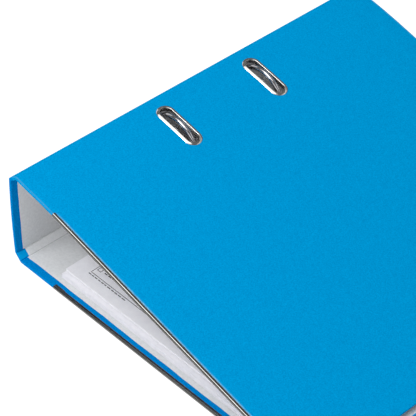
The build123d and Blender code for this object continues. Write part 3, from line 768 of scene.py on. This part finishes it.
def build_slot_rim(name, y, node):
    """Rolled flange outside, wall through the cover, curl inside, and the nub on the lower side."""
    radius = OPENING[1] / 2
    half_straight = OPENING[0] / 2 - radius
    around = []              # points of the opening's outline, each with its way out
    for side in (1, -1):
        for i in range(24):
            angle = math.pi * (i / 24 - 0.5)
            out_u, out_v = side * math.cos(angle), side * math.sin(angle)
            around.append((side * half_straight + radius * out_u, radius * out_v, out_u, out_v))
        for i in range(60):
            u = half_straight * (1 - 2 * i / 60)
            around.append((side * u, side * radius, 0.0, float(side)))
    rings = []
    for u, v, out_u, out_v in around:
        away = (u - NUB_AT) / NUB_HALF
        nub = NUB_OUT * (1 - away**4) if abs(away) < 1 and out_v < -0.99 else 0.0
        ring = []
        for offset, height, share in RIM_PROFILE:
            reach = offset - share * max(0.0, nub)
            ring.append(place(CREASE_4 + SLOT_AT + u + out_u * reach, y + v + out_v * reach, -height))
        rings.append(ring)
    rings.append(rings[0])
    obj = make_piece(name, *loft(rings, capped=False), sharp=50.0)
    dress(obj, NICKEL)
    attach(obj, "front_cover")
    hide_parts(node)


# ---- Finger ring and label ----
FINGER_PROFILE = (           # radius and depth
    (15.2, 0.0), (15.25, -0.2), (14.7, -0.6), (13.6, -0.85), (12.6, -0.75), (11.8, -0.35), (11.5, 0.2),
    (11.5, 2.3), (11.65, 2.75), (12.2, 3.0), (13.2, 2.85), (13.7, 2.45), (12.6, 2.4), (12.1, 2.2),
    (12.1, 0.1),
)


def build_finger_ring():
    """Pressed ring round the finger hole, following the spine's bow."""
    middle = CREASE_2 + SPINE_FACE / 2
    rings = []
    for i in range(97):
        angle = 2 * math.pi * i / 96
        ring = []
        for radius, depth in FINGER_PROFILE:
            y = FINGER_Y + radius * math.cos(angle)
            ring.append(place(middle + radius * math.sin(angle), y, depth))
        rings.append(ring)
    obj = make_piece("finger_hole_ring", *loft(rings, capped=False), sharp=50.0)
    dress(obj, NICKEL)
    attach(obj, "spine")
    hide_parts("finger_ring")


LABEL_WIDTH = 55.0
LABEL_Y = (108.0, 298.0)
LABEL_CORNER = 4.0
LABEL_LIFT = 0.12
RULE_LIFT = 0.14
RULE_HALF = 0.3
RULE_CORNER = 0.1
RULE_INSET = 5.0             # from the label's edges to its outer rules


def spine_patch(name, y_range, s_range, lift, corner, look):
    """A thin patch on the outside of the spine with rounded corners."""
    rings = []
    for s in spread(*s_range, 1.0):
        near = min(s - s_range[0], s_range[1] - s)
        inset = corner - math.sqrt(corner**2 - max(0.0, corner - near) ** 2)
        low, high = y_range[0] + inset, y_range[1] - inset
        section = ((low, 0.02), (low, -lift), (high, -lift), (high, 0.02))
        rings.append([place(s, y, depth) for y, depth in section])
    obj = make_piece(name, *loft(rings), sharp=30.0)
    dress(obj, look)
    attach(obj, "spine")
    return obj


def build_label():
    """A blank label with a ruled frame."""
    middle = CREASE_2 + SPINE_FACE / 2
    low_s, high_s = middle - LABEL_WIDTH / 2, middle + LABEL_WIDTH / 2
    label = spine_patch(
        "spine_label_paper", LABEL_Y, (low_s, high_s), LABEL_LIFT, LABEL_CORNER, LABEL
    )
    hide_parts("spine_label")
    first_s, last_s = low_s + RULE_INSET, high_s - RULE_INSET
    first_y, last_y = LABEL_Y[0] + RULE_INSET, LABEL_Y[1] - RULE_INSET
    for i, s in enumerate((first_s, last_s)):
        s_range = (s - RULE_HALF, s + RULE_HALF)
        name = f"label_side_rule_{i}"
        spine_patch(name, (first_y, last_y), s_range, RULE_LIFT, RULE_CORNER, RULE_INK)
    rules = (first_y + RULE_HALF, first_y + 28, last_y - 62, last_y - 31, last_y - RULE_HALF)
    for i, y in enumerate(rules):
        y_range = (y - RULE_HALF, y + RULE_HALF)
        name = f"label_cross_rule_{i}"
        spine_patch(name, y_range, (first_s, last_s), RULE_LIFT, RULE_CORNER, RULE_INK)


# ---- Filed paper ----
SHEET = (210.0, 297.0)
POST_X = 50.6
PUNCH_R = 3.0
HOLE_CELL = 5.0              # half the side of the square of mesh round a punched hole
LOWER_CORNER = (37.3, 9.3)   # each bundle's corner nearest the spine and the bottom
UPPER_CORNER = (38.0, 12.8)
LOWER_STACK = 3.8
UPPER_STACK = 2.7
TOP_SHEET = 0.15
SHEET_GAP = 0.02
STACK_Z = 4.1
UPPER_Z = STACK_Z + LOWER_STACK + SHEET_GAP
TOP_Z = STACK_Z + LOWER_STACK + UPPER_STACK + 2 * SHEET_GAP


HELD_X = 64.0                # the sheets lie flat on the base plate up to here ...
HELD_Y = 80.0                # ... and this far either side of the middle
SINK_X = 60.0                # how gently they sink beyond it
SINK_Y = 68.0


def settled(x, y, z):
    """Height of a sheet: it lies on the base plate and sinks to the cover round it."""
    held_x = 1 - smooth((x - HELD_X) / SINK_X)
    held_y = 1 - smooth((abs(y - MIDDLE_Y) - HELD_Y) / SINK_Y)
    sink = 1.55 + 0.1 * (z - STACK_Z)
    return z - sink * (1 - held_x * held_y)


def sheet_grid(corner):
    """The x and y values of one sheet's mesh, with a square cell round each punched hole."""
    x0, y0 = corner
    xs = {x0, POST_X - HOLE_CELL, POST_X + HOLE_CELL, *spread(x0 + 26, x0 + SHEET[0], 17)}
    ys = {y0, *spread(y0 + 8, RING_Y[0] - 12, 8), *spread(RING_Y[0] + 14, RING_Y[1] - 14, 26)}
    ys |= {*spread(RING_Y[1] + 12, y0 + SHEET[1], 8)}
    for ring_y in RING_Y:
        ys |= {ring_y - HOLE_CELL, ring_y + HOLE_CELL}
    return sorted(xs), sorted(ys)


def sheet_geometry(corner, z, thick, points, faces):
    """Adds one punched sheet to the lists."""
    xs, ys = sheet_grid(corner)
    first = len(points)
    columns = len(ys)
    layers = (z, z + thick)
    for level in layers:
        for x in xs:
            points.extend(row(x, y, settled(x, y, level)) for y in ys)
    size = len(xs) * columns
    below, above = first, first + size
    holes = []
    for i in range(len(xs) - 1):
        for j in range(columns - 1):
            a, b = i * columns + j, (i + 1) * columns + j
            ring_y = [y for y in RING_Y if abs(ys[j] + HOLE_CELL - y) < 0.01]
            if ring_y and abs(xs[i] + HOLE_CELL - POST_X) < 0.01:
                holes.append((a, b, ring_y[0]))
                continue
            faces.append((above + a, above + b, above + b + 1, above + a + 1))
            faces.append((below + a, below + a + 1, below + b + 1, below + b))
    for a, b, ring_y in holes:
        corners = (b + 1, a + 1, a, b)
        rings = []
        for level, base in zip(layers, (below, above)):
            start = len(points)
            for k in range(16):
                angle = math.pi * (0.25 + k / 8)
                x, y = POST_X + PUNCH_R * math.cos(angle), ring_y + PUNCH_R * math.sin(angle)
                points.append(row(x, y, settled(x, y, level)))
            rings.append(start)
            for q in range(4):
                arc = [start + (4 * q + k) % 16 for k in range(5)]
                face = [base + corners[q], base + corners[(q + 1) % 4]] + arc[::-1]
                faces.append(tuple(face if base == above else face[::-1]))
        for k in range(16):
            n = (k + 1) % 16
            faces.append((rings[0] + k, rings[0] + n, rings[1] + n, rings[1] + k))
    rim = rim_of(len(xs), columns)
    for here, there in zip(rim, rim[1:] + rim[:1]):
        faces.append((below + here, below + there, above + there, above + here))


def build_stack(name, corner, z, thick, count, loose, node, tuck=0.0):
    """Loose sheets, each a little out of line with the next; the lowest are tucked in."""
    draws = random.Random(len(name) * 7 + count)
    points, faces = [], []
    pitch = thick / count
    for i in range(count):
        inset = tuck * max(0.0, 1 - i / 3)
        x = corner[0] + inset + draws.uniform(0, loose)
        y = corner[1] + inset + draws.uniform(0, loose)
        sheet_geometry((x, y), z + i * pitch, pitch * 0.9, points, faces)
    obj = link_mesh(name, points, faces)
    shade(obj, 30.0)
    dress(obj, PAPER)
    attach(obj, "back_cover")
    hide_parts(node)


INK_HEIGHT = 0.03
LINE = 0.42                  # width of a printed line
DASH = 0.7                   # height of a dash
FORM_CORNER = (51.6, 22.9)
FORM_SIZE = (150.0, 240.0)
FORM_ROWS = 9
ROW_PITCH = 26.0
TICK_X = (1.5, 5.0)          # the tick boxes' sides, from the frame
TICK_Y = (-1.8, 1.7)         # ... and from their row


def ink_bar(points, faces, x_range, y_range):
    """A flat printed bar that follows the top sheet."""
    base = TOP_Z + TOP_SHEET
    along_x = x_range[1] - x_range[0] > y_range[1] - y_range[0]
    stations = spread(*(x_range if along_x else y_range), 6.0)
    rings = []
    for t in stations:
        ring = []
        for side, lift in ((0, -0.02), (0, INK_HEIGHT), (1, INK_HEIGHT), (1, -0.02)):
            x, y = (t, y_range[side]) if along_x else (x_range[side], t)
            ring.append(row(x, y, settled(x, y, base) + lift))
        rings.append(ring)
    new_points, new_faces = loft(rings)
    first = len(points)
    points.extend(new_points)
    faces.extend(tuple(first + k for k in face) for face in new_faces)


def ink_frame(points, faces, x_range, y_range):
    """A printed rectangle."""
    (x0, x1), (y0, y1) = x_range, y_range
    ink_bar(points, faces, (x0, x1), (y0, y0 + LINE))
    ink_bar(points, faces, (x0, x0 + LINE), (y0, y1))
    ink_bar(points, faces, (x1 - LINE, x1), (y0, y1))
    ink_bar(points, faces, (x0, x1), (y1 - LINE, y1))


def ink_dashes(points, faces, draws, x_range, y, lengths, gap):
    """A row of dashes of uneven length."""
    x = x_range[0]
    while x < x_range[1]:
        width = draws.uniform(*lengths)
        ink_bar(points, faces, (x, x + width), (y, y + DASH))
        x += width + gap


def build_form():
    """A generic printed form on the top sheet: a frame, tick boxes, and dashes where words would be."""
    x0, y0 = FORM_CORNER
    x1, y1 = x0 + FORM_SIZE[0], y0 + FORM_SIZE[1]
    points, faces = [], []
    ink_frame(points, faces, (x0, x1), (y0, y1))
    draws = random.Random(11)
    for i in range(FORM_ROWS):
        y = y0 + 5.9 + ROW_PITCH * i
        ink_bar(points, faces, (x0, x1), (y + 12, y + 12 + LINE))
        ink_frame(points, faces, [x0 + x for x in TICK_X], [y + up for up in TICK_Y])
        for dashes_y in (y - 0.6, y + 5.0):
            ink_dashes(points, faces, draws, (x0 + 7.5, x0 + 110), dashes_y, (1.4, 4.2), 0.9)
    ink_dashes(points, faces, draws, (x0 - 0.3, x0 + 33), y0 - 1.9, (1.2, 3.4), 0.7)
    obj = make_piece("form_printing", points, faces)
    dress(obj, INK)
    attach(obj, "back_cover")


# ---- Arch wire ----
AXLE_X = 7.8
AXLE_Z = 6.3
ARCH_Z = 51.4                # height of the centre of the arches' curve
WIRE_R = 1.7
TIP_R = 0.6                  # radius of the wire at the very end of its rounded tip
TIP_LENGTH = 0.45            # how far that tip reaches beyond the curve
WIRE_BEND_R = 2.4
CRANK_X = 21.2
CRANK_HALF = 6.5
CRANK_SHOULDER = 11.5
ARCH_STEPS = 48
BEND_STEPS = 6
WIRE_SIDES = 28


def rounded_corner(before, corner, after):
    """Points of the arc that rounds a corner of the wire."""
    first, second = (before - corner).normalized(), (after - corner).normalized()
    half = first.angle(second) / 2
    centre = corner + (first + second).normalized() * (WIRE_BEND_R / math.sin(half))
    start, end = (corner + way * (WIRE_BEND_R / math.tan(half)) - centre for way in (first, second))
    start.normalize()
    end.normalize()
    arc = [start.slerp(end, i / BEND_STEPS) for i in range(BEND_STEPS + 1)]
    return [centre + way * WIRE_BEND_R for way in arc]


def arch_half(y, from_post):
    """Points over one arch, in millimetres, between its tip on the post and its leg."""
    radius = (POST_X - AXLE_X) / 2
    points = []
    for i in range(ARCH_STEPS + 1):
        angle = math.pi * i / ARCH_STEPS
        across, up = radius * math.cos(angle), radius * math.sin(angle)
        points.append(Vector((AXLE_X + radius + across, y, ARCH_Z + up)))
    return points if from_post else points[::-1]


def build_arch_wire():
    """Both arches, legs, axle and crank: one smooth bent wire."""
    low, high = RING_Y
    corners = [Vector(corner) for corner in (
        (AXLE_X, low, ARCH_Z),
        (AXLE_X, low, AXLE_Z),
        (AXLE_X, MIDDLE_Y - CRANK_SHOULDER, AXLE_Z),
        (CRANK_X, MIDDLE_Y - CRANK_HALF, AXLE_Z),
        (CRANK_X, MIDDLE_Y + CRANK_HALF, AXLE_Z),
        (AXLE_X, MIDDLE_Y + CRANK_SHOULDER, AXLE_Z),
        (AXLE_X, high, AXLE_Z),
        (AXLE_X, high, ARCH_Z),
    )]
    path = [Vector((POST_X, low, ARCH_Z - TIP_LENGTH))] + arch_half(low, True)
    for before, corner, after in zip(corners, corners[1:], corners[2:]):
        path += rounded_corner(before, corner, after)
    path += arch_half(high, False) + [Vector((POST_X, high, ARCH_Z - TIP_LENGTH))]
    last = len(path) - 1
    rings = []
    side = Vector((0, 1, 0))
    for i, point in enumerate(path):
        ahead = (path[min(i + 1, last)] - path[max(i - 1, 0)]).normalized()
        side = (side - ahead * side.dot(ahead)).normalized()
        up = ahead.cross(side)
        radius = TIP_R if i in (0, last) else WIRE_R
        ring = []
        for k in range(WIRE_SIDES):
            angle = 2 * math.pi * k / WIRE_SIDES
            spot = point + side * (radius * math.cos(angle)) + up * (radius * math.sin(angle))
            ring.append(row(*spot))
        rings.append(ring)
    obj = make_piece("smooth_arch_wire", *loft(rings))
    dress(obj, CHROME)
    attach(obj, "arches")
    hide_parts("arch_wire")


# ---- Mechanism: the CAD's own shapes with finer materials ----
MECHANISM = {
    "lower_post": CHROME, "upper_post": CHROME, "lever_pin": CHROME, "roller_pin": CHROME,
    "roller": LEVER, "lever": LEVER, "compressor_bar": LEVER,
    "base_plate": ZINC, "base_rivets": NICKEL,
    "compressor_clips": SPRING, "opening_spring": SPRING,
}


def dress_mechanism():
    for name, look in MECHANISM.items():
        obj = NODES[name]
        if obj.material_slots:
            for holder in obj.material_slots:
                holder.material = look
        else:
            obj.data.materials.append(look)


# ---- Studio, in metres ----
FLOOR_HALF = 4.0
FLOOR_DROP = 0.0002
FLOOR_GREY = 0.35
FLOOR_GLOW = 0.75
WORLD_GLOW = 0.24
LIGHTS = (                   # name, direction, distance, size, watts
    ("key", (-0.12, -0.22, 0.95), 1.6, (1.5, 1.2), 11.6),
    ("bright_card", (-0.2, -0.6, 0.78), 1.6, (0.7, 0.55), 9),
    ("mouth_fill", (0.45, -0.85, 0.4), 1.7, (1.6, 0.9), 4.9),
    ("left_light", (-0.95, 0.0, 0.42), 1.7, (1.0, 1.0), 3),
    ("back_strip", (0.05, 0.8, 0.6), 1.7, (1.6, 0.3), 1.5),
    ("back_right_card", (0.6, 0.5, 0.62), 1.7, (1.0, 0.6), 2),
)
CAMERA_TARGET = (-0.09099, -0.02933, 0.00115)
CAMERA_DISTANCE = 1.393
CAMERA_TURN = 46.607         # degrees round z from straight in front
CAMERA_RISE = 40.938
CAMERA_ROLL = 0.62
CAMERA_LENS = 174.67
SENSOR = 36.0


def build_floor():
    half = FLOOR_HALF
    corners = [(-half, -half, 0), (half, -half, 0), (half, half, 0), (-half, half, 0)]
    floor = link_mesh("studio_floor", corners, [(0, 1, 2, 3)])
    floor.location.z = -FLOOR_DROP
    look = bpy.data.materials.new("studio_white")
    look.use_nodes = True
    shader = look.node_tree.nodes["Principled BSDF"]
    shader.inputs["Base Color"].default_value = (FLOOR_GREY, FLOOR_GREY, FLOOR_GREY, 1)
    shader.inputs["Roughness"].default_value = 0.9
    shader.inputs["Emission Color"].default_value = (1, 1, 1, 1)
    shader.inputs["Emission Strength"].default_value = FLOOR_GLOW
    floor.data.materials.append(look)


def soft_light(name, direction, distance, size, power):
    """A large rectangular light that faces the middle of the file."""
    data = bpy.data.lights.new(name, "AREA")
    data.shape = "RECTANGLE"
    data.size, data.size_y = size
    data.energy = power
    obj = bpy.data.objects.new(name, data)
    towards = Vector(direction).normalized()
    obj.location = towards * distance
    obj.rotation_mode = "QUATERNION"
    obj.rotation_quaternion = (-towards).to_track_quat("-Z", "Y")
    bpy.context.scene.collection.objects.link(obj)


def build_lights():
    world = bpy.data.worlds.new("studio")
    world.use_nodes = True
    background = world.node_tree.nodes["Background"]
    background.inputs["Color"].default_value = (1, 1, 1, 1)
    background.inputs["Strength"].default_value = WORLD_GLOW
    bpy.context.scene.world = world
    for light in LIGHTS:
        soft_light(*light)


def build_camera():
    data = bpy.data.cameras.new("camera")
    data.lens = CAMERA_LENS
    data.sensor_width = SENSOR
    data.clip_start = 0.05
    data.clip_end = 20.0
    camera = bpy.data.objects.new("camera", data)
    turn, rise, roll = (math.radians(value) for value in (CAMERA_TURN, CAMERA_RISE, CAMERA_ROLL))
    level = math.cos(rise)
    back = Vector((math.sin(turn) * level, -math.cos(turn) * level, math.sin(rise)))
    right = (-back).cross(Vector((0, 0, 1))).normalized()
    up = back.cross(right)
    turned_right = right * math.cos(roll) + up * math.sin(roll)
    turned_up = up * math.cos(roll) - right * math.sin(roll)
    rotation = Matrix((turned_right, turned_up, back)).transposed()
    camera.rotation_mode = "QUATERNION"
    camera.rotation_quaternion = rotation.to_quaternion()
    camera.location = Vector(CAMERA_TARGET) + back * CAMERA_DISTANCE
    scene = bpy.context.scene
    scene.collection.objects.link(camera)
    scene.camera = camera
    scene.view_settings.view_transform = "Standard"
    scene.view_settings.look = "None"


build_panels()
build_folds()
build_rail("back_rail_channel", CREASE_1 - BACK_RAIL_AT, BACK_END + RAIL_STOP, "back_cover")
build_rail("front_rail_channel", CREASE_4 + FRONT_RAIL_AT, FRONT_END - RAIL_STOP, "front_cover")
for slot_name, slot_y in zip(("lower", "upper"), RING_Y):
    build_slot_rim(f"{slot_name}_slot_rim", slot_y, f"{slot_name}_slot_eyelet")
build_finger_ring()
build_label()
build_stack("lower_sheets", LOWER_CORNER, STACK_Z, LOWER_STACK, 17, 0.45, "paper_lower_bundle")
build_stack("upper_sheets", UPPER_CORNER, UPPER_Z, UPPER_STACK, 12, 0.4, "paper_upper_bundle", tuck=1.1)
build_stack("top_sheet", UPPER_CORNER, TOP_Z, TOP_SHEET, 1, 0.0, "paper_top_sheet")
build_form()
build_arch_wire()
dress_mechanism()
build_floor()
build_lights()
build_camera()
